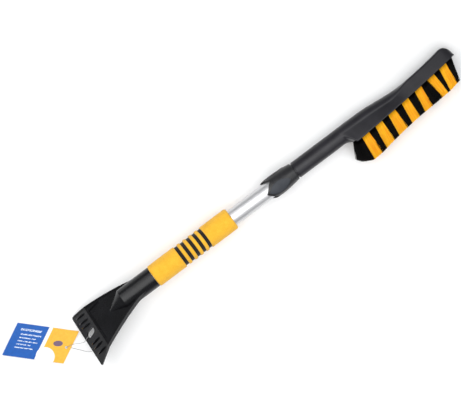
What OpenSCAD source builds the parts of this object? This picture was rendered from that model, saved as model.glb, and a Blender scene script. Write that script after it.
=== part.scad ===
// Telescopic snow brush with an ice scraper, lying on its side at rest.
// Every module is drawn along the shaft: X runs from the scraping edge to the brush,
// the bristles point to -Y, and lie_down() then sets the whole part on the ground.

/* [Overall] */
// Length from the scraping edge to the tip of the brush, slid shut
closed_len = 650; // [620:5:680]
// How far the brush slides out
travel = 220; // [120:10:220]

/* [Scraper] */
// Width of the scraping edge
blade_w = 95; // [80:1:110]
// Width of the blade at the bend of the tip
bend_w = 75; // [70:1:80]
// Distance from the edge to where the blade meets its socket
flare_x = 100; // [96:1:104]
// Distance from the edge to the bend of the tip
bend_x = 25; // [24:1:27]
// Slope of the tip's top face below the shaft's direction
tip_slope = 36; // [30:1:40]
// Turn of the blade about the shaft, away from the plane of the brush
blade_turn = 33.5; // [0:0.5:45]
// Outer diameter of the tube socket
socket_d = 31; // [30:0.5:33]
// Thickness of the blade's web
web_t = 3.2; // [2.5:0.1:4]
// Width of the hanging slot
slot_w = 9.5; // [7:0.5:10]
// End-to-end length of the hanging slot
slot_len = 18; // [14:0.5:19]

/* [Tubes] */
// Outer diameter of the outer tube
tube_d = 24; // [23:0.5:25]
// Wall of the outer tube
tube_t = 1.2; // [1:0.1:1.5]
// Outer diameter of the inner tube
inner_d = 20; // [19:0.5:20]
// Wall of the inner tube
inner_t = 1; // [0.8:0.1:1.2]

/* [Grip] */
// Distance from the edge to the foam grip
grip_x = 132; // [130:1:136]
// Length of the foam grip
grip_len = 135.6; // [130:0.2:140]
// Diameter of the foam grip
grip_d = 33.4; // [31:0.2:35]
// Depth of the black rings below the foam's surface
ring_drop = 1.7; // [1:0.1:2.5]

/* [Collar] */
// Largest diameter of the twist-lock collar
collar_d = 31.4; // [30:0.2:33]
// Diameter of the collar's end beside the brush handle
collar_end_d = 25.6; // [25:0.2:27]
// Angle of the first petal from the upward side
petal_turn = 20; // [0:1:60]

/* [Brush] */
// Diameter of the brush handle
handle_d = 24.8; // [24:0.2:26]
// Half the width of the brush block at its bristle face
block_half_w = 17.5; // [15:0.5:20]
// Number of bristle groups, alternately black and yellow
groups = 15; // [9:2:15]
// Length that one group takes along the block
group_pitch = 11.87; // [10:0.01:12]
// Slope of the bristle face towards the tip of the brush
face_slope = 5.3; // [0:0.1:8]

/* [Tag] */
// Length of the hang tag's card
card_len = 88; // [80:1:95]
// Width of the hang tag's card
card_w = 49; // [44:1:54]
// Diameter of the tag's thread
thread_d = 0.8; // [0.6:0.1:1]

/* [Hidden] */
$fn = 64;
gap = 0.3;
running = 0.05;

// Numbered names of the pieces that repeat
rings = 5;
petals = 3;
tuft_columns = 2;
tuft_rows = 4;
function named(stem, count) = [for (i = [1:count]) str(stem, i)];

// How the part lies: it rests on a corner of the blade and on the bristles
rest_roll = -3.4;
rest_pitch = 3.3;
rest_shift = [-323.2, 15.8, 52.94];

module lie_down() {
    translate(rest_shift) rotate([rest_roll, rest_pitch, 0]) children();
}

// A cylinder along X from x0 to x1
module rod(x0, x1, r, r2 = undef) {
    translate([x0, 0, 0]) rotate([0, 90, 0])
        cylinder(h = x1 - x0, r1 = r, r2 = is_undef(r2) ? r : r2);
}

// A tube along X from x0 to x1
module sleeve(x0, x1, r_out, r_in) {
    difference() {
        rod(x0, x1, r_out);
        rod(x0 - 1, x1 + 1, r_in);
    }
}

// A body turned about X, from an outline of [x, radius] points
module turned(outline) {
    rotate([90, 0, 90]) rotate_extrude() polygon([for (p = outline) [p[1], p[0]]]);
}

// ---- Scraper ----

// Distances along the shaft
socket_x = 79;
tube_x = 88;
nose_x = 56;
root_top = 4;
root_drop = 16.8;
side_root = 7;
side_bend = 6;
edge_t = 1;
edge_chamfer = 2.5;
socket_r = socket_d / 2;
blade_step = 4;
// The side walls sink into the socket over this length
fade_len = 12;
fade = 0.9;

function flare(x) = max(0, (flare_x - x) / flare_x);
flare_r = socket_r + 0.2;
function half_w(x) =
    x > flare_x ? flare_r - fade * (x - flare_x) / fade_len
    : x > bend_x ? flare_r + (bend_w / 2 - flare_r) * flare(x) / flare(bend_x)
    : (bend_w + (blade_w - bend_w) * (bend_x - x) / bend_x) / 2;
function main_top(x) = root_top - root_drop * pow(flare(x) / flare(bend_x), 1.6);
function blade_top(x) =
    x < bend_x ? main_top(bend_x) - (bend_x - x) * tan(tip_slope) : main_top(x);
function blade_side(x) =
    x < bend_x ? edge_t + (side_bend - edge_t) * x / bend_x
               : side_bend + (side_root - side_bend) * (x - bend_x) / (flare_x - bend_x);

blade_xs = concat([0, bend_x], [for (x = [bend_x + blade_step : blade_step : flare_x - 1]) x],
                  [flare_x, flare_x + fade_len]);

// Turns children from the blade's own frame, whose +Z is the face, to the shaft's frame
module blade_frame() {
    rotate([-blade_turn, 0, 0]) children();
}

// The blade seen from its face, drawn in by inset
module blade_plan(inset = 0) {
    side = [for (x = blade_xs) [x, half_w(x) - inset]];
    linear_extrude(height = 2 * blade_w, center = true)
        difference() {
            polygon(concat(side, [for (i = [len(side) - 1 : -1 : 0]) [side[i][0], -side[i][1]]]));
            for (m = [-1, 1])
                translate([0, m * blade_w / 2]) rotate(45) square(edge_chamfer * sqrt(2), center = true);
        }
}

// The blade seen from its side: from `up` above the top face down to `down` below it,
// or to the bottom of the side walls where down is not given
module blade_slab(up, down = undef) {
    top = [for (x = blade_xs) [x, blade_top(x) + up]];
    low = [for (i = [len(blade_xs) - 1 : -1 : 0]) let (x = blade_xs[i])
           [x, blade_top(x) - (is_undef(down) ? blade_side(x) : down)]];
    rotate([90, 0, 0]) linear_extrude(height = 2 * blade_w, center = true)
        polygon(concat(top, low));
}

// Children placed on the tip's sloping top face, with X = 0 at the bend
module on_tip() {
    translate([bend_x, 0, blade_top(bend_x)]) rotate([0, -tip_slope, 0]) children();
}

slot_at = [-14.8, 2.2];
slot_turn = -6;
rib_chord = 22;
rib_rise = 2.6;
rib_t = 1.3;
rib_at = [-15.4, 1];
rib_rows = [14.9, 23, 33.3];
// The ribs on both sides of the slot lean the same way, one side more than the other
rib_turn_left = -20;
rib_turn_right = -12;
crease_w = 1.6;
rib_r = (pow(rib_chord / 2, 2) + pow(rib_rise, 2)) / (2 * rib_rise);

// One arched rib that breaks up ice, y to the side of the middle of the ribs
module ice_rib(y) {
    translate([rib_at[0], rib_at[1] + y, 0]) rotate(y > 0 ? rib_turn_left : rib_turn_right)
        intersection() {
            translate([0, 0, rib_rise - rib_r]) rotate([90, 0, 0])
                cylinder(r = rib_r, h = rib_t, center = true, $fn = 96);
            translate([0, 0, 1]) cube([rib_chord + 2, 2 * rib_t, 4], center = true);
        }
}

module hanging_slot() {
    straight = slot_len - slot_w;
    translate([slot_at[0], slot_at[1], -15]) rotate(slot_turn) {
        translate([-straight / 2, -slot_w / 2, 0]) cube([straight, slot_w, 30]);
        for (m = [-1, 1]) translate([m * straight / 2, 0, 0]) cylinder(d = slot_w, h = 30);
    }
}

panel_x0 = 28;
panel_x1 = 48;
panel_w = 54;
panel_depth = 1.2;
panel_slope = atan2(blade_top(panel_x1) - blade_top(panel_x0), panel_x1 - panel_x0);

// The recess that a label sits in
module label_recess() {
    translate([panel_x0, 0, blade_top(panel_x0) - panel_depth]) rotate([0, -panel_slope, 0])
        translate([0, -panel_w / 2, 0]) cube([(panel_x1 - panel_x0) / cos(panel_slope), panel_w, 9]);
}

rim_w = 2.4;
rim_h = 0.9;
pocket_x = 27;
stiffener_t = 2.4;
stiffeners = [-20, 0, 20];
screw_x = 94.5;
screw_r = 1.6;
screw_head_r = 3.6;
screw_head_h = 2.2;
screw_sink = 2.4;
screw_len = 6.4;
screw_bite = 8;

module scraper_head() {
    color("#232426") lie_down() blade_frame() difference() {
        union() {
            difference() {
                intersection() {
                    blade_plan();
                    blade_slab(0);
                }
                // hollow underside, with walls at the sides and three stiffeners
                intersection() {
                    blade_plan(3);
                    blade_slab(-web_t, 3 * side_root);
                    translate([pocket_x, -blade_w, -blade_w]) cube([socket_x - pocket_x, 2 * blade_w, 2 * blade_w]);
                }
            }
            intersection() {
                blade_plan(1);
                blade_slab(-1);
                union() for (y = stiffeners)
                    translate([bend_x, y - stiffener_t / 2, -blade_w])
                        cube([flare_x - bend_x, stiffener_t, 2 * blade_w]);
            }
            // raised rim along both sides
            difference() {
                intersection() {
                    blade_plan();
                    blade_slab(rim_h, 1);
                    translate([4, -blade_w, -blade_w]) cube([flare_x + fade_len, 2 * blade_w, 2 * blade_w]);
                }
                blade_plan(rim_w);
            }
            on_tip() for (m = [-1, 1], y = rib_rows) ice_rib(m * y);
            on_tip() translate([-crease_w / 2, 1 - half_w(bend_x), -1])
                cube([crease_w, 2 * half_w(bend_x) - 2, crease_w]);
            rod(socket_x, grip_x - gap, socket_r);
            hull() {
                rod(socket_x, socket_x + 0.2, socket_r, $fn = 48);
                translate([nose_x, 0, blade_top(nose_x) - 1.6]) sphere(r = 2.2, $fn = 24);
            }
        }
        label_recess();
        on_tip() hanging_slot();
        rod(tube_x, grip_x + 1, tube_d / 2);
        translate([screw_x, 0, -socket_r - 1]) cylinder(r = screw_r + running, h = socket_r);
        translate([screw_x, 0, -socket_r - 1]) cylinder(r = screw_head_r + 0.2, h = 1 + screw_sink);
    }
}

// A pan-head screw along +Z, its head's underside at z = 0
module pan_screw(len, head_r, head_h, r) {
    difference() {
        union() {
            cylinder(r = r, h = len);
            translate([0, 0, -head_h]) cylinder(r1 = head_r - 0.6, r2 = head_r, h = head_h);
        }
        for (a = [0, 90]) rotate(a)
            translate([-head_r / 2, -0.4, -head_h - 1]) cube([head_r, 0.8, 2]);
    }
}

module scraper_screw() {
    color("silver") lie_down() blade_frame()
        translate([screw_x, 0, -socket_r + screw_sink]) pan_screw(screw_len, screw_head_r, screw_head_h, screw_r);
}

// ---- Outer tube and what is in it ----

tube_r = tube_d / 2;
tube_in_r = tube_r - tube_t;
collar_x0 = 326;
tube_end = 358;
bumper_len = 13;

module outer_tube() {
    color("#d9dadc") lie_down() difference() {
        sleeve(tube_x, tube_end, tube_r, tube_in_r);
        blade_frame() translate([screw_x, 0, -tube_r - 1]) cylinder(r = screw_r + running, h = 4);
    }
}

// A plug in the end of the tube: the scraper's screw bites into it and the guide stops on it
module rear_bumper() {
    color("#2a2a2c") lie_down() difference() {
        rod(tube_x, tube_x + bumper_len, tube_in_r);
        blade_frame() translate([screw_x, 0, -tube_r]) cylinder(r = screw_r, h = screw_bite);
    }
}

// ---- Foam grip ----

ring_w = 4.9;
ring_pitch = 9.9;
ring_x0 = 177.9;
grip_round = 3.4;
grip_r = grip_d / 2;

// A foam sleeve with a rounded rim of radius r0 at its low end and r1 at its high end
module foam(x0, x1, r, r0, r1) {
    steps = 5;
    low = [for (i = [0 : steps]) let (a = 90 * i / steps) [x0 + r0 * (1 - sin(a)), r - r0 * (1 - cos(a))]];
    high = [for (i = [0 : steps]) let (a = 90 * i / steps) [x1 - r1 * (1 - cos(a)), r - r1 * (1 - sin(a))]];
    turned(concat([[x0, tube_r]], [for (i = [steps : -1 : 0]) low[i]],
                  [for (i = [steps : -1 : 0]) high[i]], [[x1, tube_r]]));
}

module grip_rear() {
    color("#fcc93e") lie_down() foam(grip_x, ring_x0, grip_r, 2.2, 0.8);
}

module grip_front() {
    color("#fcc93e") lie_down()
        foam(ring_x0 + (rings - 1) * ring_pitch + ring_w, grip_x + grip_len, grip_r, 0.8, grip_round);
}

module grip_black_ring(i) {
    x = ring_x0 + (i - 1) * ring_pitch;
    color("#1d1c1c") lie_down() foam(x, x + ring_w, grip_r - ring_drop, 0.3, 0.3);
}

module grip_yellow_ring(i) {
    x = ring_x0 + (i - 1) * ring_pitch + ring_w;
    color("#fcc93e") lie_down() foam(x, x + ring_pitch - ring_w, grip_r - 0.2, 1.2, 1.2);
}

// ---- Inner tube and its guide ----

inner_r = inner_d / 2;
inner_x0 = 118;
inner_x1 = 455;
guide_x0 = 106.2;
guide_x1 = 115.8;
neck_r = 7.5;
plug_x0 = 104;
plug_grip = 16;
plug_chamfer = 0.8;
plug_flange_r = inner_r + 0.2;
side_play = 0.2;

module guide_ring() {
    color("#c9c9c4") lie_down() difference() {
        sleeve(guide_x0, guide_x1, tube_in_r - running, neck_r + running);
        // the split that lets it clip into its groove
        translate([guide_x0 - 1, -1, 0]) cube([guide_x1 - guide_x0 + 2, 2, tube_r]);
    }
}

module guide_plug() {
    color("#3a3a3c") lie_down() turned([
        [plug_x0, 0], [plug_x0, plug_flange_r - plug_chamfer], [plug_x0 + plug_chamfer, plug_flange_r],
        [guide_x0 - side_play, plug_flange_r], [guide_x0 - side_play, neck_r],
        [guide_x1 + side_play, neck_r], [guide_x1 + side_play, inner_r],
        [inner_x0, inner_r], [inner_x0, inner_r - inner_t],
        [inner_x0 + plug_grip, inner_r - inner_t], [inner_x0 + plug_grip, 0]
    ]);
}

handle_screw_x = 436;

module inner_tube() {
    color("#cfd0d2") lie_down() difference() {
        sleeve(inner_x0, inner_x1, inner_r, inner_r - inner_t);
        translate([handle_screw_x, 0, -inner_r - 1]) cylinder(r = screw_r + running, h = 4);
    }
}

// ---- Twist lock ----

collar_x1 = 376.5;
bush_r = 13.2;
finger_x0 = 361;
finger_x1 = 373.5;
bush_x0 = guide_x1 + travel + 0.5;
fingers = 6;

// Fixed in the mouth of the outer tube: it stops the guide ring and its fingers grip the inner tube
module collet_bushing() {
    bore = inner_r + running;
    color("#35363a") lie_down() difference() {
        turned([
            [bush_x0, bore], [bush_x0, tube_in_r], [tube_end, tube_in_r], [tube_end, tube_r],
            [tube_end - 17, tube_r], [tube_end - 17, bush_r], [finger_x0, bush_r],
            [finger_x0, bush_r - 0.3], [finger_x1, bush_r - 2.1], [finger_x1, bore]
        ]);
        for (i = [0 : fingers - 1]) rotate([360 * i / fingers, 0, 0])
            translate([finger_x0 + 0.5, -0.6, 0]) cube([finger_x1 - finger_x0, 1.2, tube_r + 4]);
    }
}

collar_r = collar_d / 2;
collar_end_r = collar_end_d / 2;
pad_x0 = 330;
pad_x1 = 365.6;
pad_half = 8.6;
pad_mid = (pad_x0 + pad_x1) / 2;
pad_arc_r = (pow((pad_x1 - pad_x0) / 2, 2) + pow(pad_half, 2)) / (2 * pad_half);
pad_t = 1;
pad_sink = 0.2;
lip_w = 1;
lip_h = 0.35;

// The collar's outer surface, moved out by grow
function collar_skin(grow) = [
    [collar_x0, 13.6 + grow], [331, 14.6 + grow], [336, 15.3 + grow], [341, collar_r + grow],
    [351, collar_r + grow], [360, collar_r - 0.8 + grow], [369, collar_end_r + 1 + grow],
    [collar_x1 - 0.8, collar_end_r + grow]
];

// A ring between two copies of the collar's surface
module collar_shell(outer, inner) {
    skin_in = collar_skin(inner);
    turned(concat(collar_skin(outer), [for (i = [len(skin_in) - 1 : -1 : 0]) skin_in[i]]));
}

// The almond outline of a pad, grown by grow, carried outward from the shaft
module almond(grow) {
    translate([0, 0, 8]) linear_extrude(height = 12) intersection_for(m = [-1, 1])
        translate([pad_mid, m * (pad_arc_r - pad_half)]) circle(r = pad_arc_r + grow, $fn = 96);
}

module at_petal(i) {
    rotate([petal_turn + 360 * (i - 1) / petals, 0, 0]) children();
}

// The notch between two petals: a curved V that opens towards the grip
module petal_notch() {
    side = [[339.8, 0], [339.4, 1.3], [338.5, 2.2], [335, 5.2], [331.5, 8.6], [329, 10.3],
            [327, 11.3], [326.2, 11.8], [325, 12.4]];
    linear_extrude(height = 20)
        polygon(concat(side, [for (k = [len(side) - 1 : -1 : 1]) [side[k][0], -side[k][1]]]));
}

module lock_collar() {
    color("#2b2c2f") lie_down() difference() {
        union() {
            turned(concat(collar_skin(0), [
                [collar_x1, collar_end_r - 0.8], [collar_x1, inner_r + 0.4], [374.3, inner_r + 0.4],
                [374.3, 11.6], [finger_x0 + 0.3, bush_r + running], [340, bush_r + running],
                [338.5, tube_r + 0.4], [collar_x0, tube_r + 0.4]
            ]));
            // the raised lips round the pads
            for (i = [1 : petals]) intersection() {
                collar_shell(lip_h, -0.5);
                at_petal(i) almond(lip_w);
            }
        }
        for (i = [1 : petals]) intersection() {
            collar_shell(2, -pad_t - pad_sink);
            at_petal(i) almond(0);
        }
        for (i = [1 : petals]) at_petal(i + 0.5) petal_notch();
    }
}

module collar_pad(i) {
    color("#44474d") lie_down() intersection() {
        collar_shell(-pad_sink, -pad_t - pad_sink + 0.02);
        at_petal(i) almond(-0.05);
    }
}

// ---- Brush handle, head and bristles ----

handle_x0 = collar_x1 + gap;
handle_r = handle_d / 2;
groove_w = 1.4;
groove_depth = 1.5;
head_x0 = 448;
face_x0 = 467;
face_y0 = -20;
face_len = closed_len - 5 - face_x0;

// Height of the bristle face below the shaft, which bows a little between its ends
function face_y(x) = let (v = (x - face_x0) / face_len)
    face_y0 + face_len * tan(face_slope) * v - 1.4 * sin(180 * max(0, min(1, v)));

function head_top(x) = lookup(x, [
    [head_x0, handle_r], [490, 12.5], [505, 11.8], [520, 10.4], [534, 8.9], [547, 7.8], [558, 7.4],
    [575, 8.1], [590, 9.2], [603, 10.6], [630, 13.9], [638, 14.9], [642, 13.6], [645.5, 10],
    [648.5, 2], [closed_len, -2.4]
]);
function head_low(x) = x > face_x0 ? max(face_y(x), face_y0) : lookup(x, [
    [head_x0, -handle_r], [454, -12.2], [457, -12.3], [460, -13.6], [464, -17], [face_x0, face_y0]
]);
function head_w_low(x) = lookup(x, [
    [head_x0, handle_r], [454, handle_r], [460, 14.6], [470, block_half_w - 0.5], [500, block_half_w],
    [636, block_half_w], [644, block_half_w - 1], [648, block_half_w - 4], [closed_len, 10]
]);
function head_w_top(x) = lookup(x, [
    [head_x0, handle_r], [500, 12.4], [548, 12.6], [575, 15.6], [600, 14.7], [642, 13.8], [647, 11.2],
    [closed_len, 8]
]);
function head_square(x) = lookup(x, [[head_x0, 2], [456, 2.1], [470, 4], [500, 5], [closed_len, 5]]);

function signed_pow(v, p) = sign(v) * pow(abs(v), p);

// One cross-section of the head: a rounded outline that turns from a circle into a block
function head_section(x, sides) = let (
        hi = head_top(x), lo = head_low(x), mid = (hi + lo) / 2, half = (hi - lo) / 2,
        p = 2 / head_square(x)
    ) [for (i = [0 : sides - 1]) let (
        a = 360 * i / sides,
        y = mid + half * signed_pow(sin(a), p),
        w = head_w_low(x) + (head_w_top(x) - head_w_low(x)) * (y - lo) / (hi - lo)
    ) [x, y, w * signed_pow(cos(a), p)]];

// A closed skin over cross-sections that all have the same number of points, with an end on
// the first and the last, or with the last joined to the first where it is a loop
module skin(sections, loop = false) {
    n = len(sections[0]);
    m = len(sections);
    points = [for (s = sections) each s];
    sides = [for (j = [0 : m - (loop ? 1 : 2)], i = [0 : n - 1]) let (k = (i + 1) % n, h = (j + 1) % m)
             each [[j * n + i, j * n + k, h * n + i], [j * n + k, h * n + k, h * n + i]]];
    ends = loop ? [] : [[for (i = [n - 1 : -1 : 0]) i], [for (i = [0 : n - 1]) (m - 1) * n + i]];
    polyhedron(points = points, faces = concat(sides, ends));
}

head_xs = [head_x0, 452, 456, 460, 463, 466, 469, 474, 482, 490, 505, 520, 534, 547, 560,
           575, 590, 604, 618, 630, 638, 642, 645.5, 648.5, closed_len];
head_sides = 28;

tuft_pitch = group_pitch / tuft_columns;
row_pitch = 7.4;
hole_r = 2.2;
hole_depth = 8;
root_depth = 6.2;

function group_x(i) = face_x0 + (i - 1) * group_pitch;
function column_x(i, c) = group_x(i) + (c + 0.5) * tuft_pitch;
function row_z(r) = (r - (tuft_rows - 1) / 2) * row_pitch;

// Children at each tuft of group i, with +Y into the block and y = 0 on its face
module at_tufts(i) {
    for (c = [0 : tuft_columns - 1], r = [0 : tuft_rows - 1])
        translate([column_x(i, c), face_y(column_x(i, c)), row_z(r)]) children();
}

// A pin along Y from y0 to y1
module y_pin(y0, y1, r) {
    translate([0, y1, 0]) rotate([90, 0, 0]) cylinder(r = r, h = y1 - y0, $fn = 24);
}

module brush_handle() {
    color("#2e2e31") lie_down() difference() {
        union() {
            rod(handle_x0 + groove_w, head_x0 + 4, handle_r);
            // the narrow neck that leaves a dark line between the collar and the handle
            rod(handle_x0, handle_x0 + groove_w + 0.1, handle_r - groove_depth);
            skin([for (x = head_xs) head_section(x, head_sides)]);
        }
        rod(handle_x0 - 1, inner_x1, inner_r);
        for (i = [1 : groups]) at_tufts(i) y_pin(-3, hole_depth, hole_r);
        translate([handle_screw_x, 0, -handle_r - 1]) cylinder(r = screw_r + running, h = handle_r);
        translate([handle_screw_x, 0, -handle_r - 1]) cylinder(r = 2.9, h = 1 + 1.4);
    }
}

module handle_screw() {
    color("silver") lie_down()
        translate([handle_screw_x, 0, -handle_r + 1.4]) pan_screw(3.6, 2.6, 1.3, screw_r);
}

// Where the bristles end, below the shaft
function tip_y(x) = lookup(x, [[440, -52], [474, -53], [520, -47.5], [562, -43], [604, -41.5], [650, -33]]);
// How far the edge of a group leans back towards the handle at its tips
function lean(k) = k == 0 ? 11 : k == groups ? 10 : 5;

bristle_gap = 0.15;

module bristles(i) {
    x0 = group_x(i) + bristle_gap;
    x1 = group_x(i + 1) - bristle_gap;
    t0 = x0 - lean(i - 1);
    t1 = x1 - lean(i);
    color(i % 2 == 1 ? "#141213" : "#fdb425") lie_down() union() {
        intersection() {
            linear_extrude(height = 60, center = true) polygon([
                [x0, face_y(x0) - gap], [x1, face_y(x1) - gap], [t1, tip_y(t1)], [t0, tip_y(t0)]
            ]);
            translate([400, 0, 0]) rotate([90, 0, 90]) linear_extrude(height = closed_len - 400)
                polygon([[0, 15], [-60, 21], [-60, -21], [0, -15]]);
        }
        at_tufts(i) y_pin(-2, root_depth, hole_r - 0.1);
    }
}

staple = [0.4, 1.5, 3.4];

module tuft_staples() {
    color("silver") lie_down() for (i = [1 : groups])
        at_tufts(i) translate([0, (hole_depth + root_depth) / 2, 0]) cube(staple, center = true);
}

// ---- Hang tag on its thread, lying on the ground ----

card_t = 0.6;
card_z = 1.4;
card_at = [-383, 33];
card_turn = -44.7;
card_lean = 8;
card_hole = [37, -1];
card_hole_r = 2;
sticker_at = [9, -18];
sticker_r = 13.5;
sticker_t = 0.2;

// Children drawn on the card, with X along its length
module on_card(z) {
    translate([card_at[0], card_at[1], z]) rotate(card_turn) children();
}

module tag_card() {
    color("#f4f4f2") on_card(card_z) linear_extrude(height = card_t) difference() {
        polygon([for (q = [[-1, -1], [1, -1], [1, 1], [-1, 1]])
            [q[0] * card_len / 2 + q[1] * card_lean, q[1] * card_w / 2]]);
        translate(card_hole) circle(r = card_hole_r);
    }
}

module tag_sticker() {
    color("#fafafa") on_card(card_z + card_t) translate(sticker_at) cylinder(r = sticker_r, h = sticker_t);
}

// The thread's loop: up from the card's hole, over the edge, down the slot, back under the card
thread_path = [
    [-357.2, 6.4, 2.6], [-352, 5.5, 4.5], [-343, 4, 14], [-329, -1, 26], [-321.5, 1, 30],
    [-316.5, 2, 33], [-313.5, 0.5, 32], [-311.5, -5.5, 30.5], [-315, -19, 29.5], [-333, -18, 8],
    [-343, -9, 2.4], [-350, -1, 0.8], [-355.6, 4.8, 0.7]
];
thread_steps = 5;
thread_sides = 8;

// A smooth curve through the points p0 to p3, at v from p1 to p2
function smooth(p0, p1, p2, p3, v) =
    (2 * p1 + (p2 - p0) * v + (2 * p0 - 5 * p1 + 4 * p2 - p3) * v * v
     + (3 * p1 - p0 - 3 * p2 + p3) * v * v * v) / 2;
function looped(path, i) = path[(i + len(path)) % len(path)];
function loop_points(path, steps) = [for (i = [0 : len(path) - 1], k = [0 : steps - 1])
    smooth(looped(path, i - 1), looped(path, i), looped(path, i + 1), looped(path, i + 2), k / steps)];
function unit(v) = v / norm(v);

// A ring of points round each place on a closed curve that never runs along Y
function loop_rings(c, r, sides) = [for (i = [0 : len(c) - 1])
    let (t = unit(looped(c, i + 1) - looped(c, i - 1)), u = unit(cross(t, [0, 1, 0])), w = cross(t, u))
    [for (k = [0 : sides - 1]) c[i] + r * (u * cos(360 * k / sides) + w * sin(360 * k / sides))]];

module tag_thread() {
    color("#8d8d8d") skin(loop_rings(loop_points(thread_path, thread_steps), thread_d / 2, thread_sides), true);
}

scraper_head();
scraper_screw();
outer_tube();
rear_bumper();
grip_rear();
grip_front();
for (i = [1 : rings]) grip_black_ring(i);
for (i = [1 : rings - 1]) grip_yellow_ring(i);
collet_bushing();
lock_collar();
for (i = [1 : petals]) collar_pad(i);
guide_ring();
guide_plug();
inner_tube();
brush_handle();
handle_screw();
for (i = [1 : groups]) bristles(i);
tuft_staples();
tag_card();
tag_sticker();
tag_thread();
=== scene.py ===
import math
import random

import bpy
import bmesh
from mathutils import Matrix, Vector


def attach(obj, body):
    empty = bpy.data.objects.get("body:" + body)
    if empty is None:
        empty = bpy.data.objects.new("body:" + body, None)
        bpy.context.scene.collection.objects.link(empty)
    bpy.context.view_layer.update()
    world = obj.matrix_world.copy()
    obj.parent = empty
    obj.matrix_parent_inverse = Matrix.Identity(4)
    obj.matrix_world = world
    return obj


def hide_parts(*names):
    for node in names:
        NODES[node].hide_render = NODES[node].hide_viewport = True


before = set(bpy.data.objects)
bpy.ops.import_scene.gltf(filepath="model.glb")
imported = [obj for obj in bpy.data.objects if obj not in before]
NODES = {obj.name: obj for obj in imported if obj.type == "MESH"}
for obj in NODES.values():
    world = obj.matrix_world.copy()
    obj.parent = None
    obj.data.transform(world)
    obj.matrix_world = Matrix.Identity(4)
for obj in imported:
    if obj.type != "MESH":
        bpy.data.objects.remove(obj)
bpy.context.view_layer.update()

MM = 0.001

# ---- The shaft's frame: X along the shaft, bristles to -Y, as in the part's design ----
REST_ROLL = math.radians(-3.4)
REST_PITCH = math.radians(3.3)
REST_SHIFT = Vector((-323.2, 15.8, 52.94))
SHAFT_TURN = Matrix.Rotation(REST_PITCH, 3, "Y") @ Matrix.Rotation(REST_ROLL, 3, "X")
TO_SHAFT = Matrix.Translation(REST_SHIFT * MM) @ SHAFT_TURN.to_4x4()


def at(x, y, z):
    """A point of the shaft's frame, in mm, as a place in the row's frame, in metres."""
    return (REST_SHIFT + SHAFT_TURN @ Vector((x, y, z))) * MM


def toward(x, y, z):
    """A direction of the shaft's frame in the row's frame."""
    return SHAFT_TURN @ Vector((x, y, z))


def lerp(a, b, t):
    return a + (b - a) * t


def clamp01(t):
    return max(0.0, min(1.0, t))


def ease(t):
    t = clamp01(t)
    return t * t * (3 - 2 * t)


def table(x, stops):
    """A smooth curve through (x, value) stops, flat past both ends."""
    if x <= stops[0][0]:
        return stops[0][1]
    if x >= stops[-1][0]:
        return stops[-1][1]
    i = max(k for k in range(len(stops) - 1) if stops[k][0] <= x)
    x0, y0 = stops[i]
    x1, y1 = stops[i + 1]
    width = x1 - x0

    def slope(k):
        if k <= 0 or k >= len(stops) - 1:
            j = 0 if k <= 0 else len(stops) - 2
            return (stops[j + 1][1] - stops[j][1]) / (stops[j + 1][0] - stops[j][0])
        a = (stops[k][1] - stops[k - 1][1]) / (stops[k][0] - stops[k - 1][0])
        b = (stops[k + 1][1] - stops[k][1]) / (stops[k + 1][0] - stops[k][0])
        return 0.0 if a * b <= 0 else 2 * a * b / (a + b)

    t = (x - x0) / width
    m0, m1 = slope(i) * width, slope(i + 1) * width
    return ((2 * t ** 3 - 3 * t ** 2 + 1) * y0 + (t ** 3 - 2 * t ** 2 + t) * m0
            + (3 * t ** 2 - 2 * t ** 3) * y1 + (t ** 3 - t ** 2) * m1)


# ---- Camera ----
SENSOR = 36.0
CAMERA_DISTANCE = 2400.0
VIEW_WIDTH = 641.0
VIEW_CENTRE = (274.9, 12.8)
VIEW_ROLL = math.radians(36.85)


def make_camera():
    data = bpy.data.cameras.new("camera")
    data.sensor_width = SENSOR
    data.lens = SENSOR * CAMERA_DISTANCE / VIEW_WIDTH
    data.clip_start = 0.05
    data.clip_end = 50
    cam = bpy.data.objects.new("camera", data)
    bpy.context.scene.collection.objects.link(cam)
    right = toward(math.cos(VIEW_ROLL), -math.sin(VIEW_ROLL), 0)
    up = toward(math.sin(VIEW_ROLL), math.cos(VIEW_ROLL), 0)
    back = toward(0, 0, 1)
    turn = Matrix((right, up, back)).transposed()
    cam.matrix_world = Matrix.Translation(at(*VIEW_CENTRE, CAMERA_DISTANCE)) @ turn.to_4x4()
    bpy.context.scene.camera = cam


make_camera()

# ---- Materials ----


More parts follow.
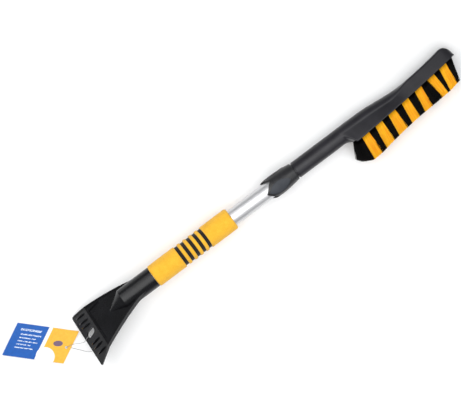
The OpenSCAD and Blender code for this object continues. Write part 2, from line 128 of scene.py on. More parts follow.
class Graph:
    """A short way to write a material's nodes."""

    def __init__(self, name):
        self.mat = bpy.data.materials.new(name)
        self.mat.use_nodes = True
        self.tree = self.mat.node_tree
        self.shader = self.tree.nodes["Principled BSDF"]
        self.coord = None

    def node(self, kind, **values):
        n = self.tree.nodes.new(kind)
        for key, value in values.items():
            setattr(n, key, value)
        return n

    def link(self, out, socket):
        self.tree.links.new(out, socket)

    def place(self, scale=(1, 1, 1), turn=(0, 0, 0), shift=(0, 0, 0)):
        """The row's own coordinates, in metres, moved, turned and scaled."""
        if self.coord is None:
            self.coord = self.node("ShaderNodeTexCoord")
        m = self.node("ShaderNodeMapping")
        m.inputs["Location"].default_value = shift
        m.inputs["Rotation"].default_value = turn
        m.inputs["Scale"].default_value = scale
        self.link(self.coord.outputs["Object"], m.inputs["Vector"])
        return m.outputs["Vector"]

    def noise(self, scale, detail=3.0, rough=0.5, vector=None):
        n = self.node("ShaderNodeTexNoise")
        n.inputs["Scale"].default_value = scale
        n.inputs["Detail"].default_value = detail
        n.inputs["Roughness"].default_value = rough
        self.link(vector if vector is not None else self.place(), n.inputs["Vector"])
        return n.outputs["Fac"]

    def cells(self, scale, vector=None):
        n = self.node("ShaderNodeTexVoronoi")
        n.inputs["Scale"].default_value = scale
        self.link(vector if vector is not None else self.place(), n.inputs["Vector"])
        return n.outputs["Distance"]

    def ramp(self, fac, stops):
        n = self.node("ShaderNodeValToRGB")
        while len(n.color_ramp.elements) < len(stops):
            n.color_ramp.elements.new(0.5)
        for e, (pos, color) in zip(n.color_ramp.elements, stops):
            e.position = pos
            e.color = (*color, 1)
        self.link(fac, n.inputs["Fac"])
        return n.outputs["Color"]

    def spread(self, fac, low, high, from_low=0.3, from_high=0.7):
        n = self.node("ShaderNodeMapRange")
        n.inputs["From Min"].default_value = from_low
        n.inputs["From Max"].default_value = from_high
        n.inputs["To Min"].default_value = low
        n.inputs["To Max"].default_value = high
        self.link(fac, n.inputs["Value"])
        return n.outputs["Result"]

    def math(self, op, a, b=None):
        n = self.node("ShaderNodeMath", operation=op)
        for i, v in enumerate((a, b)):
            if v is None:
                continue
            if isinstance(v, (int, float)):
                n.inputs[i].default_value = v
            else:
                self.link(v, n.inputs[i])
        return n.outputs["Value"]

    def mix(self, fac, a, b):
        """Colour a where fac is 0, and b where it is 1."""
        n = self.node("ShaderNodeMix", data_type="RGBA")
        for socket, v in (("Factor", fac), ("A", a), ("B", b)):
            s = [i for i in n.inputs if i.name == socket and (socket == "Factor" or i.type == "RGBA")][0]
            if isinstance(v, tuple):
                s.default_value = (*v, 1)
            else:
                self.link(v, s)
        return [o for o in n.outputs if o.type == "RGBA"][0]

    def bump(self, height, strength, distance, under=None):
        n = self.node("ShaderNodeBump")
        n.inputs["Strength"].default_value = strength
        n.inputs["Distance"].default_value = distance
        self.link(height, n.inputs["Height"])
        if under is not None:
            self.link(under, n.inputs["Normal"])
        return n.outputs["Normal"]

    def out(self, color=None, rough=None, normal=None, **values):
        for socket, v in (("Base Color", color), ("Roughness", rough), ("Normal", normal)):
            if v is None:
                continue
            if isinstance(v, tuple):
                self.shader.inputs[socket].default_value = (*v, 1)
            elif isinstance(v, (int, float)):
                self.shader.inputs[socket].default_value = v
            else:
                self.link(v, self.shader.inputs[socket])
        for key, v in values.items():
            self.shader.inputs[key.replace("_", " ")].default_value = v
        return self.mat


def plastic(name, dark, light, rough, grain=1400.0, grain_depth=0.00004, specular=0.5):
    """Moulded plastic: a faint mottle in its colour, a spark-eroded grain and uneven gloss."""
    g = Graph(name)
    mottle = g.noise(60, 4, 0.6)
    fine = g.noise(grain, 2, 0.6)
    colour = g.ramp(g.math("ADD", g.math("MULTIPLY", mottle, 0.8), g.math("MULTIPLY", fine, 0.2)),
                    [(0.35, dark), (0.65, light)])
    gloss = g.spread(g.noise(35, 5, 0.65), rough - 0.05, rough + 0.07)
    normal = g.bump(fine, 0.5, grain_depth)
    return g.out(colour, gloss, normal, Specular_IOR_Level=specular)


def foam(name, dark, light, cell=900.0):
    """Closed-cell foam: fine open pores, soft mottling and no gloss."""
    g = Graph(name)
    pores = g.cells(cell)
    mottle = g.noise(110, 4, 0.6)
    shade = g.math("ADD", g.math("MULTIPLY", mottle, 0.75), g.math("MULTIPLY", pores, 0.35))
    colour = g.ramp(shade, [(0.3, dark), (0.68, light)])
    normal = g.bump(g.noise(240, 3, 0.55), 0.25, 0.0003, g.bump(pores, 0.55, 0.00022))
    return g.out(colour, g.spread(mottle, 0.78, 0.92), normal, Specular_IOR_Level=0.3,
                 Sheen_Weight=0.15, Sheen_Roughness=0.5)


def metal(name, dark, light, rough, stretch, depth=0.00002, metallic=1.0):
    """Metal with fine lines drawn along its length."""
    g = Graph(name)
    along = g.place(scale=stretch)
    lines = g.noise(1.0, 4, 0.6, along)
    colour = g.ramp(lines, [(0.3, dark), (0.7, light)])
    gloss = g.spread(g.math("ADD", g.math("MULTIPLY", lines, 0.5),
                            g.math("MULTIPLY", g.noise(40, 4, 0.6), 0.5)), rough - 0.06, rough + 0.08)
    return g.out(colour, gloss, g.bump(lines, 0.35, depth), Metallic=metallic)


def filament(name, dark, light, rough, specular=0.5, glow=0.0):
    """Plastic filaments, each its own shade, a little worn and dusty along its length.

    The faint glow is painted light: it stands in for the light that scatters through pale filaments."""
    g = Graph(name)
    geo = g.node("ShaderNodeNewGeometry")
    own = geo.outputs["Random Per Island"]
    worn = g.noise(90, 3, 0.6)
    shade = g.math("ADD", g.math("MULTIPLY", own, 0.7), g.math("MULTIPLY", worn, 0.3))
    colour = g.ramp(shade, [(0.1, dark), (0.85, light)])
    return g.out(colour, g.spread(own, rough - 0.08, rough + 0.1, 0.0, 1.0),
                 g.bump(g.noise(3000, 2), 0.2, 0.00003), Specular_IOR_Level=specular,
                 Emission_Color=(*light, 1), Emission_Strength=glow)


MAT = {
    "scraper": plastic("scraper_plastic", (0.0025, 0.0025, 0.003), (0.0055, 0.0055, 0.007), 0.25,
                       specular=0.28),
    "handle": plastic("handle_plastic", (0.011, 0.0105, 0.0135), (0.017, 0.0165, 0.021), 0.33,
                      grain=1700.0, specular=0.32),
    "collar": plastic("collar_plastic", (0.010, 0.010, 0.0115), (0.017, 0.017, 0.0195), 0.36,
                      specular=0.4),
    "pad": plastic("soft_pad", (0.032, 0.036, 0.044), (0.044, 0.048, 0.057), 0.55, grain=900.0,
                   grain_depth=0.0001, specular=0.3),
    "inner": plastic("inner_plastic", (0.012, 0.012, 0.014), (0.022, 0.022, 0.024), 0.5),
    "guide": plastic("guide_plastic", (0.50, 0.50, 0.46), (0.60, 0.60, 0.56), 0.45),
    "yellow_foam": foam("foam_yellow", (0.71, 0.36, 0.014), (0.83, 0.455, 0.034)),
    "black_foam": foam("foam_black", (0.004, 0.0035, 0.003), (0.012, 0.011, 0.010)),
    "tube": metal("tube_aluminium", (0.52, 0.52, 0.53), (0.64, 0.64, 0.65), 0.33,
                  (25, 2500, 2500), metallic=0.75),
    "steel": metal("screw_steel", (0.50, 0.50, 0.51), (0.68, 0.68, 0.69), 0.34, (600, 600, 600)),
    "black_bristle": filament("bristle_black", (0.0012, 0.001, 0.001), (0.005, 0.0042, 0.004), 0.45,
                              0.12),
    # the yellow filaments' glow is painted light, for the light that scatters through them
    "yellow_bristle": filament("bristle_yellow", (0.80, 0.24, 0.003), (1.0, 0.62, 0.022), 0.42, 0.3,
                               glow=0.16),
}


def dress(node, key):
    """A carried-over CAD node gets its procedural material."""
    o = NODES[node]
    o.data.materials.clear()
    o.data.materials.append(MAT[key])


def make(name, bm, key, body, smooth_angle=35.0):
    """A new piece from mesh data in the shaft's frame, in mm."""
    bmesh.ops.recalc_face_normals(bm, faces=bm.faces)
    mesh = bpy.data.meshes.new(name)
    bm.to_mesh(mesh)
    bm.free()
    mesh.transform(TO_SHAFT @ Matrix.Scale(MM, 4))
    mesh.materials.append(MAT[key])
    mesh.shade_smooth()
    if smooth_angle < 180:
        mesh.set_sharp_from_angle(angle=math.radians(smooth_angle))
    o = bpy.data.objects.new(name, mesh)
    bpy.context.scene.collection.objects.link(o)
    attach(o, body)
    return o


def loft(bm, rings, closed_ends=True):
    """Faces over rings of points, each ring with the same number of points."""
    rows = [[bm.verts.new(p) for p in ring] for ring in rings]
    n = len(rows[0])
    for a, b in zip(rows, rows[1:]):
        for i in range(n):
            bm.faces.new((a[i], a[(i + 1) % n], b[(i + 1) % n], b[i]))
    if closed_ends:
        bm.faces.new(list(reversed(rows[0])))
        bm.faces.new(rows[-1])
    return rows


# ---- Hang tag's thread: the same route as the part's, from the slot round the card and back ----
THREAD_D = 0.8
THREAD_ROUTE = [
    (-313.5, 0.5, 32), (-311.5, -5.5, 30.5), (-315, -19, 29.5), (-333, -18, 8), (-343, -9, 2.4),
    (-350, -1, 0.8), (-355.6, 4.8, 0.7), (-357.2, 6.4, 2.6), (-352, 5.5, 4.5), (-343, 4, 14),
    (-329, -1, 26), (-321.5, 1, 30), (-316.5, 2, 33),
]
THREAD_STEPS = 8
THREAD_FINER = 4
# each of the two plies: its radius, how far it lies off the thread's middle, and one turn's length
PLY_R = THREAD_D * MM * 0.27
PLY_OFFSET = THREAD_D * MM * 0.23
PLY_PITCH = 2.6 * MM
PLY_SIDES = 6


def thread_line():
    """Points along the loop, which opens where the thread lies in the slot."""
    pts = [Vector(p) for p in THREAD_ROUTE]
    n = len(pts)
    line = []
    for i in range(n):
        p0, p1, p2, p3 = (pts[(i + k) % n] for k in (-1, 0, 1, 2))
        for k in range(THREAD_STEPS):
            v = k / THREAD_STEPS
            line.append((2 * p1 + (p2 - p0) * v + (2 * p0 - 5 * p1 + 4 * p2 - p3) * v * v
                         + (3 * p1 - p0 - 3 * p2 + p3) * v ** 3) / 2)
    return line


def make_thread():
    """Two plies twisted round each other along the route."""
    line = [p * MM for p in thread_line()]
    # a finer line, so that the twist is smooth
    fine = []
    for a, b in zip(line, line[1:]):
        fine += [a.lerp(b, k / THREAD_FINER) for k in range(THREAD_FINER)]
    fine.append(line[-1])
    bm = bmesh.new()
    for ply in (0, 1):
        rings = []
        run = 0.0
        for i, p in enumerate(fine):
            if i:
                run += (p - fine[i - 1]).length
            t = (fine[min(i + 1, len(fine) - 1)] - fine[max(i - 1, 0)]).normalized()
            u = t.cross(Vector((0, 1, 0))).normalized()
            w = t.cross(u)
            a = 2 * math.pi * run / PLY_PITCH + math.pi * ply
            c = p + PLY_OFFSET * (math.cos(a) * u + math.sin(a) * w)
            rings.append([c + PLY_R * (math.cos(2 * math.pi * k / PLY_SIDES) * u
                                       + math.sin(2 * math.pi * k / PLY_SIDES) * w)
                          for k in range(PLY_SIDES)])
        loft(bm, rings)
    bmesh.ops.recalc_face_normals(bm, faces=bm.faces)
    mesh = bpy.data.meshes.new("tag_thread_twist")
    bm.to_mesh(mesh)
    bm.free()
    g = Graph("thread")
    fuzz = g.noise(900, 4, 0.7)
    mesh.materials.append(g.out(g.ramp(fuzz, [(0.3, (0.20, 0.20, 0.20)), (0.7, (0.42, 0.42, 0.42))]),
                                g.spread(fuzz, 0.7, 0.95), g.bump(fuzz, 0.5, 0.0001),
                                Sheen_Weight=0.3))
    mesh.shade_smooth()
    o = bpy.data.objects.new("tag_thread_twist", mesh)
    bpy.context.scene.collection.objects.link(o)
    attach(o, "handle")
    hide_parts("tag_thread")
    return o


make_thread()

# ---- Foam grip ----
GRIP_X = 132.0
GRIP_LEN = 135.6
GRIP_R = 16.7
TUBE_R = 12.0
RING_X0 = 177.9
RING_PITCH = 9.9
RING_W = 4.9
RING_DROP = 1.7
YELLOW_RING_DROP = 0.2
REAR_RIM, FRONT_RIM, CUT_RIM = 2.2, 3.4, 0.9
BLACK_RIM, YELLOW_RIM = 0.4, 1.3
RINGS = 5
FOAM_SIDES = 96
RIM_STEPS = 7
FOAM_STEP = 2.5
# each piece stays this far inside its share of the grip's length
END_CLEAR = 0.02
# how deep the foam's unevenness is, and its waves: along the shaft, round it, and their share
WAVE_DEPTH = 0.06
WAVES = [(0.21, 2, 0.5), (0.13, -3, 0.3), (0.47, 5, 0.2)]


def ring_bow(x):
    """How far the foam near the rings is pushed along the shaft on its upper side."""
    return table(x, [(165, 0.0), (180, 0.8), (190, 1.1), (201, 1.7), (211, 1.9), (220, 2.2),
                     (226, 2.0), (246, 0.0)])


def foam_profile(x0, x1, r, r0, r1):
    """The sleeve's outline along the shaft: bore, rear rim, outer wall, front rim, bore."""
    quarter = [math.pi / 2 * k / RIM_STEPS for k in range(RIM_STEPS + 1)]
    rear, front = x0 + END_CLEAR, x1 - END_CLEAR
    inner = max(1, int((x1 - x0) / FOAM_STEP))
    profile = [(rear, TUBE_R), (rear, r - r0)]
    profile += [(rear + r0 * (1 - math.cos(a)), r - r0 + r0 * math.sin(a)) for a in quarter[1:]]
    profile += [(lerp(x0 + r0, x1 - r1, k / inner), r) for k in range(1, inner)]
    profile += [(front - r1 + r1 * math.sin(a), r - r1 + r1 * math.cos(a)) for a in quarter]
    return profile + [(front, TUBE_R)]


def foam_piece(name, x0, x1, r, r0, r1, key, node, seed):
    """A foam sleeve with rims of radius r0 and r1 and a surface that is a little uneven."""
    rng = random.Random(seed)
    phases = [rng.uniform(0, 2 * math.pi) for _ in WAVES]
    bm = bmesh.new()
    rings = []
    for x, rad in foam_profile(x0, x1, r, r0, r1):
        ring = []
        for k in range(FOAM_SIDES):
            a = 2 * math.pi * k / FOAM_SIDES
            wave = sum(share * math.sin(x * along + around * a + phase)
                       for (along, around, share), phase in zip(WAVES, phases))
            rr = rad if rad <= TUBE_R + 0.01 else rad + WAVE_DEPTH * (wave - 1)
            ring.append((x + ring_bow(x) * rr / r * math.sin(a), rr * math.cos(a), rr * math.sin(a)))
        rings.append(ring)
    rows = loft(bm, rings, closed_ends=False)
    # the bore joins the last ring to the first
    first, last = rows[0], rows[-1]
    for i in range(FOAM_SIDES):
        j = (i + 1) % FOAM_SIDES
        bm.faces.new((last[i], last[j], first[j], first[i]))
    o = make(name, bm, key, "handle", 60)
    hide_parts(node)


def make_grip():
    """The sleeves and rings, end to end; the numbers after GRIP_R are the rims' radii."""
    rings_end = RING_X0 + (RINGS - 1) * RING_PITCH + RING_W
    foam_piece("foam_rear", GRIP_X, RING_X0, GRIP_R, REAR_RIM, CUT_RIM,
               "yellow_foam", "grip_rear", 1)
    foam_piece("foam_front", rings_end, GRIP_X + GRIP_LEN, GRIP_R, CUT_RIM, FRONT_RIM,
               "yellow_foam", "grip_front", 2)
    for i in range(RINGS):
        x = RING_X0 + i * RING_PITCH
        foam_piece(f"foam_black_{i + 1}", x, x + RING_W, GRIP_R - RING_DROP, BLACK_RIM, BLACK_RIM,
                   "black_foam", f"grip_black_ring_{i + 1}", 10 + i)
        if i < RINGS - 1:
            foam_piece(f"foam_yellow_{i + 1}", x + RING_W, x + RING_PITCH,
                       GRIP_R - YELLOW_RING_DROP, YELLOW_RIM, YELLOW_RIM,
                       "yellow_foam", f"grip_yellow_ring_{i + 1}", 20 + i)


make_grip()

# ---- Brush handle and head ----
HANDLE_X0 = 376.8
HANDLE_R = 12.4
GROOVE_W = 1.4
GROOVE_DEPTH = 1.5
# the spigot that reaches into the collar, over the silver tube
SPIGOT_R = 10.25
SPIGOT_LEN = 1.8
HEAD_X0 = 448.0
FACE_X0 = 467.0
BLOCK_X = 470.5
END_RISE = 1.2
FACE_Y0 = -20.0
FACE_X1 = 645.0
FACE_SLOPE = math.tan(math.radians(5.0))
TIP_X = 650.0
# the face of the bristle block sags by this much between its ends
FACE_SAG = 1.4
# how much narrower the block's top is than its face, and the radii of its upper and lower edges
TOP_DRAFT = 3.0
TOP_EDGE = 3.0
LOW_EDGE = 1.2
# where each part of the half outline ends, as a share of its points
TOP_SHARE, BACK_SHARE, SIDE_SHARE, EDGE_SHARE = 0.30, 0.42, 0.78, 0.86
HALF_SIDES = 44
CHAMFER = 0.3
HANDLE_RINGS = 10
# how many mm the turn from handle to head takes
HEAD_TURN = 5


def face_y(x):
    v = (x - FACE_X0) / (FACE_X1 - FACE_X0)
    return FACE_Y0 + (x - FACE_X0) * FACE_SLOPE - FACE_SAG * math.sin(math.pi * clamp01(v))


def head_top(x):
    return table(x, [(440, 12.4), (470, 12.5), (490, 12.4), (505, 11.8), (520, 10.4), (534, 8.9),
                     (547, 7.9), (558, 7.5), (575, 8.1), (590, 9.2), (603, 10.5), (630, 13.9),
                     (636, 15.0), (640, 14.8), (644, 12.2), (647, 8.6), (649.2, 3.0), (TIP_X, -1.5)])


def head_low(x):
    if x >= BLOCK_X:
        return face_y(min(x, FACE_X1)) + END_RISE * ease((x - FACE_X1 + 3) / 8)
    return table(x, [(440, -12.4), (454, -12.2), (457, -12.5), (460, -13.4), (464, -15.4),
                     (467, -17.4), (BLOCK_X, face_y(BLOCK_X))])


def crease_y(x):
    """Where the round back of the handle meets the flared side of the head."""
    return table(x, [(440, 0.0), (461, 1.4), (484, 0.6), (505, 0.0), (526, -1.2), (547, -2.8),
                     (575, -5.0), (TIP_X, -2.0)])


def block_w(x):
    """Half the width of the head at its bristle face."""
    return table(x, [(440, 12.4), (454, 12.4), (458, 13.6), (464, 16.6), (470, 17.4), (500, 17.5),
                     (560, 17.5), (620, 17.0), (636, 16.4), (641, 15.8), (646, 14.2), (648.5, 11.5),
                     (TIP_X, 8.0)])


def front_x(y):
    """Where the handle turns into the head, further along the lower it is."""
    return 456.0 + 0.6 * max(0.0, 2.0 - y)


def squareness(x):
    """From 0, a round back over a flared side, to 1, a plain block."""
    return ease((x - 536) / 42)


def quarter(v, start, end):
    """The angle of a rounded edge, from 0 to 90 degrees, where v goes from start to end."""
    return math.pi / 2 * (v - start) / (end - start)


def flared_point(v, top, low, w, back_r, yc):
    """The head: a rounded back down to the crease, a flared side, a small edge and a flat face."""
    if v < BACK_SHARE:
        b = quarter(v, 0, BACK_SHARE)
        return Vector((yc + (top - yc) * math.cos(b), back_r * math.sin(b)))
    if v < SIDE_SHARE:
        t = (v - BACK_SHARE) / (SIDE_SHARE - BACK_SHARE)
        return Vector((lerp(yc, low + LOW_EDGE, t), lerp(back_r, w, t)))
    if v < EDGE_SHARE:
        b = quarter(v, SIDE_SHARE, EDGE_SHARE)
        return Vector((low + LOW_EDGE - LOW_EDGE * math.sin(b), w - LOW_EDGE + LOW_EDGE * math.cos(b)))
    return Vector((low, lerp(w - LOW_EDGE, 0, (v - EDGE_SHARE) / (1 - EDGE_SHARE))))


def block_point(v, top, low, w, flared):
    """The block: a plain section with rounded upper edges, and the flared head's lower edge and face."""
    wt = w - TOP_DRAFT
    if v < TOP_SHARE:
        return Vector((top, (wt - TOP_EDGE) * v / TOP_SHARE))
    if v < BACK_SHARE:
        b = quarter(v, TOP_SHARE, BACK_SHARE)
        return Vector((top - TOP_EDGE + TOP_EDGE * math.cos(b), wt - TOP_EDGE + TOP_EDGE * math.sin(b)))
    if v < SIDE_SHARE:
        t = (v - BACK_SHARE) / (SIDE_SHARE - BACK_SHARE)
        return Vector((lerp(top - TOP_EDGE, low + LOW_EDGE, t), lerp(wt, w, t)))
    return flared


def head_ring(x, half_sides):
    """Half of the section at x, from its back to its face: handle, flared head and block, blended."""
    top, low, w = head_top(x), head_low(x), block_w(x)
    back_r = min(HANDLE_R, table(x, [(470, 12.4), (520, 12.2), (560, 12.0), (TIP_X, 12.0)]))
    yc = crease_y(x)
    sq = squareness(x)
    mid, half = (top + low) / 2, (top - low) / 2
    pts = []
    for k in range(half_sides + 1):
        v = k / half_sides
        # the handle: a circle squeezed between top and low
        a = math.pi * v
        tube = Vector((mid + half * math.cos(a), HANDLE_R * math.sin(a)))
        flared = flared_point(v, top, low, w, back_r, yc)
        head = flared.lerp(block_point(v, top, low, w, flared), sq)
        pts.append(tube.lerp(head, ease((x - front_x(head.x)) / HEAD_TURN + 0.5)))
    return pts


def ring_places():
    """Where the sections are, closer together at the neck, the head's front and its tip."""
    groove = HANDLE_X0 + GROOVE_W
    start = HANDLE_X0 + 3
    xs = [HANDLE_X0 - SPIGOT_LEN, HANDLE_X0 - 0.02, HANDLE_X0, groove, groove + 0.02, groove + 0.3, start]
    xs += [start + k * (HEAD_X0 - HANDLE_X0 - 3) / HANDLE_RINGS for k in range(1, HANDLE_RINGS + 1)]
    x = HEAD_X0
    while x < 640:
        x += 1.0 if x < 480 else 3.0
        xs.append(x)
    return xs + [642.5, 644, 645.5, 647, 648, 649, 649.6, TIP_X]


def neck_scale(x):
    """How much the handle is drawn in beside the collar: spigot, groove and a small chamfer."""
    groove = HANDLE_X0 + GROOVE_W
    if x < HANDLE_X0:
        return SPIGOT_R / HANDLE_R
    if x <= groove:
        return 1 - GROOVE_DEPTH / HANDLE_R
    return 1 - CHAMFER / HANDLE_R if x < groove + 0.1 else 1.0


def make_head():
    bm = bmesh.new()
    rings = []
    for x in ring_places():
        scale = neck_scale(x)
        pts = [p * scale for p in head_ring(x, HALF_SIDES)]
        both = [(p.x, p.y) for p in pts] + [(p.x, -p.y) for p in reversed(pts[1:-1])]
        rings.append([(x, y, z) for y, z in both])
    loft(bm, rings)
    o = make("brush_handle_shell", bm, "handle", "brush", 38)
    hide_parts("brush_handle")


make_head()

# ---- Bristles ----
GROUPS = 15
ROWS = 4
ROW_PITCH = 7.4
TUFT_R = 2.1
PER_TUFT = 105
FILAMENT_R = 0.27
FILAMENT_SIDES = 3
FILAMENT_PARTS = 4
COLUMNS = 2
TIP_TAPER = 0.25
# how deep the roots sit in the block, and the least height of a tip over the ground
ROOT_DEPTH = 1.0
TIP_CLEAR = 0.3
# tufts across a group, as shares of its width: the first one's place, the pitch, and a tuft's radius
COLUMN_AT, COLUMN_PITCH, TUFT_SHARE = 0.27, 0.46, 0.25
# a tuft's tips, as shares of the group's tips: the first one's place, the pitch, the fan and the scatter
TIP_AT, TIP_PITCH, TIP_FAN, TIP_SCATTER = 0.25, 0.5, 0.30, 0.035
# across the head: how much further apart the rows' tips are, the fan in mm and the scatter in mm
ROW_FAN, DEPTH_FAN, DEPTH_SCATTER = 1.32, 5.2, 0.5
TRIM_LOW, TRIM_HIGH = -0.3, 0.9
BOW = 0.5
# where the first and last groups end: along the face, and at the tips
ROOT_ENDS = (466.6, 645.0)
TIP_ENDS = (456.7, 633.5)
# the yellow groups, in order from the handle: each one's span along the face, and its span at the tips
YELLOW_ROOTS = [(478.7, 491.4), (502.9, 515.0), (526.6, 538.8), (550.9, 563.0), (575.6, 587.2),
                (598.3, 611.0), (621.0, 633.4)]
YELLOW_TIPS = [(474.8, 488.6), (497.0, 513.0), (521.4, 537.2), (545.8, 559.6), (569.4, 582.2),
               (601.6, 611.2), (614.8, 628.4)]


def tip_y(x):
    return table(x, [(455, -38.5), (461, -46), (468, -50.3), (475, -53.3), (484, -52.8), (522, -47.3),
                     (561, -43.2), (590, -41.8), (616, -39.8), (631, -37), (645, -33)])


def group_spans():
    """The spans of all groups, the black ones in the gaps between the yellow ones."""
    roots, tips = [], []
    edge_r, edge_t = ROOT_ENDS[0], TIP_ENDS[0]
    for (r0, r1), (t0, t1) in zip(YELLOW_ROOTS, YELLOW_TIPS):
        roots += [(edge_r, r0), (r0, r1)]
        tips += [(edge_t, t0), (t0, t1)]
        edge_r, edge_t = r1, t1
    roots.append((edge_r, ROOT_ENDS[1]))
    tips.append((edge_t, TIP_ENDS[1]))
    return roots, tips


def strand(bm, root, tip, bow, r):
    """One filament, gently bowed, from inside the block to its cut tip."""
    d = tip - root
    side = d.cross(Vector((0, 0, 1))).normalized()
    up = d.cross(side).normalized()
    rings = []
    for k in range(FILAMENT_PARTS + 1):
        t = k / FILAMENT_PARTS
        c = root + d * t + bow * (t * t * (1.6 - t))
        rr = r * (1.0 - TIP_TAPER * t)
        rings.append([c + rr * (math.cos(2 * math.pi * j / FILAMENT_SIDES) * side
                                + math.sin(2 * math.pi * j / FILAMENT_SIDES) * up)
                      for j in range(FILAMENT_SIDES)])
    loft(bm, rings)


def make_filament(bm, rng, cx, cz, width, col, tip_span):
    """One filament of the tuft at cx, cz, in a group of this width."""
    a = rng.uniform(0, 2 * math.pi)
    q = math.sqrt(rng.random())
    dx, dz = q * math.cos(a), q * math.sin(a)
    x = cx + dx * max(TUFT_R, width * TUFT_SHARE)
    root = Vector((x, head_low(x) + ROOT_DEPTH, cz + dz * TUFT_R))
    # where it ends: the tuft fans out to fill its share of the group's tips
    u = TIP_AT + TIP_PITCH * col + dx * TIP_FAN + rng.gauss(0, TIP_SCATTER)
    tx = lerp(*tip_span, u)
    tz = cz * ROW_FAN + dz * DEPTH_FAN + rng.gauss(0, DEPTH_SCATTER)
    tip = Vector((tx, tip_y(tx) + rng.uniform(TRIM_LOW, TRIM_HIGH), tz))
    sunk = TIP_CLEAR - at(*tip).z / MM
    if sunk > 0:
        tip.z += sunk
    bow = Vector((rng.gauss(0, BOW), 0, rng.gauss(0, BOW)))
    strand(bm, root, tip, bow, FILAMENT_R)


def make_bristles():
    roots, tips = group_spans()
    for i in range(GROUPS):
        rng = random.Random(100 + i)
        bm = bmesh.new()
        r0, r1 = roots[i]
        for col in range(COLUMNS):
            for row in range(ROWS):
                cx = lerp(r0, r1, COLUMN_AT + COLUMN_PITCH * col)
                cz = (row - (ROWS - 1) / 2) * ROW_PITCH
                for _ in range(PER_TUFT):
                    make_filament(bm, rng, cx, cz, r1 - r0, col, tips[i])
        black = i % 2 == 0
        o = make(f"bristle_tufts_{i + 1}", bm, "black_bristle" if black else "yellow_bristle",
                 "brush", 180)
        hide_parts(f"bristles_{i + 1}")


make_bristles()

# ---- Carried-over nodes ----
for node, key in {
    "scraper_head": "scraper", "scraper_screw": "steel", "handle_screw": "steel",
    "outer_tube": "tube", "inner_tube": "tube", "rear_bumper": "inner", "guide_plug": "inner",
    "collet_bushing": "inner", "guide_ring": "guide", "lock_collar": "collar",
    "collar_pad_1": "pad", "collar_pad_2": "pad", "collar_pad_3": "pad", "tuft_staples": "steel",
}.items():
    dress(node, key)

# ---- Hang tag ----
CARD_AT = (-383.0, 33.0)
CARD_TURN = math.radians(-44.7)
CARD_LEN = 88.0
CARD_W = 49.0
CARD_LEAN = 8.0
# the blue field ends and the yellow field starts here, as shares of the card's length
BLUE_END, YELLOW_START = 0.52, 0.58
# plain bars in the blue field: each one's span across the card and its span along it
CARD_BARS = [(0.80, 0.86, 0.10, 0.44), (0.67, 0.71, 0.13, 0.46), (0.57, 0.60, 0.13, 0.40),
             (0.47, 0.50, 0.13, 0.45), (0.37, 0.40, 0.13, 0.36), (0.27, 0.30, 0.13, 0.42)]
# a plain oval in the yellow field: its middle and its half size, along and across
OVAL_AT, OVAL_HALF = (0.77, 0.56), (0.075, 0.085)


def card_material():
    """A card printed in two colours, with plain bars where lines of print would be."""
    g = Graph("card")
    turn = Matrix.Rotation(-CARD_TURN, 3, "Z")
    shift = turn @ Vector((-CARD_AT[0] * MM, -CARD_AT[1] * MM, 0))
    local = g.place(turn=(0, 0, -CARD_TURN), shift=tuple(shift))
    sep = g.node("ShaderNodeSeparateXYZ")
    g.link(local, sep.inputs["Vector"])
    # along and across the card, from 0 to 1
    across = g.math("ADD", g.math("DIVIDE", sep.outputs["Y"], CARD_W * MM), 0.5)
    lean = g.math("MULTIPLY", g.math("SUBTRACT", across, 0.5), 2 * CARD_LEAN * MM)
    along = g.math("ADD", g.math("DIVIDE", g.math("SUBTRACT", sep.outputs["X"], lean), CARD_LEN * MM), 0.5)

    def band(v, low, high):
        return g.math("MULTIPLY", g.math("GREATER_THAN", v, low), g.math("LESS_THAN", v, high))

    paper = g.ramp(g.noise(700, 3), [(0.3, (0.80, 0.80, 0.79)), (0.7, (0.88, 0.88, 0.87))])
    ink = g.noise(260, 3)
    blue = g.ramp(ink, [(0.3, (0.002, 0.085, 0.38)), (0.7, (0.004, 0.105, 0.45))])
    yellow = g.ramp(ink, [(0.3, (0.78, 0.42, 0.028)), (0.7, (0.88, 0.48, 0.042))])
    colour = g.mix(band(along, -1, BLUE_END), paper, blue)
    colour = g.mix(band(along, YELLOW_START, 2), colour, yellow)
    dots = g.math("GREATER_THAN", g.noise(900, 1), 0.47)
    for low, high, start, stop in CARD_BARS:
        bar = g.math("MULTIPLY", band(across, low, high), band(along, start, stop))
        colour = g.mix(g.math("MULTIPLY", bar, dots), colour, (0.72, 0.80, 0.90))
    du = g.math("DIVIDE", g.math("SUBTRACT", along, OVAL_AT[0]), OVAL_HALF[0])
    dv = g.math("DIVIDE", g.math("SUBTRACT", across, OVAL_AT[1]), OVAL_HALF[1])
    oval = g.math("LESS_THAN", g.math("ADD", g.math("MULTIPLY", du, du), g.math("MULTIPLY", dv, dv)), 1.0)
    colour = g.mix(oval, colour, (0.16, 0.10, 0.16))
    return g.out(colour, g.spread(ink, 0.30, 0.42), g.bump(g.noise(500, 3), 0.15, 0.00005),
                 Specular_IOR_Level=0.25)


def sticker_material():
    g = Graph("sticker")
    fibre = g.noise(800, 4, 0.6)
    paper = g.ramp(fibre, [(0.3, (0.82, 0.82, 0.82)), (0.7, (0.90, 0.90, 0.90))])
    return g.out(paper, g.spread(fibre, 0.45, 0.6), g.bump(fibre, 0.15, 0.00004))


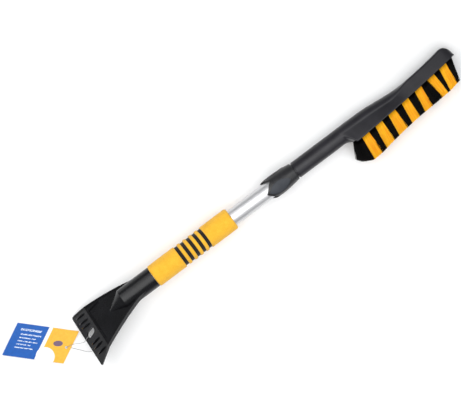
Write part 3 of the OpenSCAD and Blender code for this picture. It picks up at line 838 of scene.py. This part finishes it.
MAT["card"] = card_material()
MAT["sticker"] = sticker_material()
dress("tag_card", "card")
dress("tag_sticker", "sticker")

# ---- Floor and light ----
FLOOR_SIZE = 6.0
# the floor lies a little under the ground's plane, so that it doesn't cut the pieces that touch it
FLOOR_DROP = 0.0005
WORLD = 0.36
# Softboxes: where each is and what it faces, in the shaft's frame, its size in metres and its radiance
SOFTBOXES = [
    ("top", (275, 0, 2900), (275, 0, 0), (2.8, 2.8), 1.7),
    ("over_scraper", (0, 175, 700), (20, 0, 0), (0.45, 1.3), 2.0),
    ("over_brush", (520, -330, 700), (500, 0, 0), (0.55, 1.2), 1.4),
]


def make_floor():
    bm = bmesh.new()
    bmesh.ops.create_grid(bm, x_segments=1, y_segments=1, size=FLOOR_SIZE)
    mesh = bpy.data.meshes.new("floor")
    bm.to_mesh(mesh)
    bm.free()
    g = Graph("floor")
    n = g.noise(3, 2)
    paint = g.ramp(n, [(0.3, (0.955, 0.955, 0.955)), (0.7, (0.97, 0.97, 0.97))])
    mesh.materials.append(g.out(paint, 0.9, Specular_IOR_Level=0.0))
    o = bpy.data.objects.new("floor", mesh)
    o.location = (0, 0, -FLOOR_DROP)
    bpy.context.scene.collection.objects.link(o)


def area_light(name, place, target, size, power):
    data = bpy.data.lights.new(name, "AREA")
    data.shape = "RECTANGLE"
    data.size, data.size_y = size
    data.energy = power
    o = bpy.data.objects.new(name, data)
    bpy.context.scene.collection.objects.link(o)
    o.location = place
    o.rotation_euler = (Vector(target) - Vector(place)).to_track_quat("-Z", "Y").to_euler()


def make_lights():
    world = bpy.data.worlds.new("world")
    world.use_nodes = True
    background = world.node_tree.nodes["Background"]
    background.inputs["Color"].default_value = (0.96, 0.98, 1.0, 1)
    background.inputs["Strength"].default_value = WORLD
    bpy.context.scene.world = world
    for name, place, target, size, radiance in SOFTBOXES:
        power = radiance * math.pi * size[0] * size[1]
        area_light(name, at(*place), at(*target), size, power)


make_floor()
make_lights()
bpy.context.scene.view_settings.view_transform = "Standard"
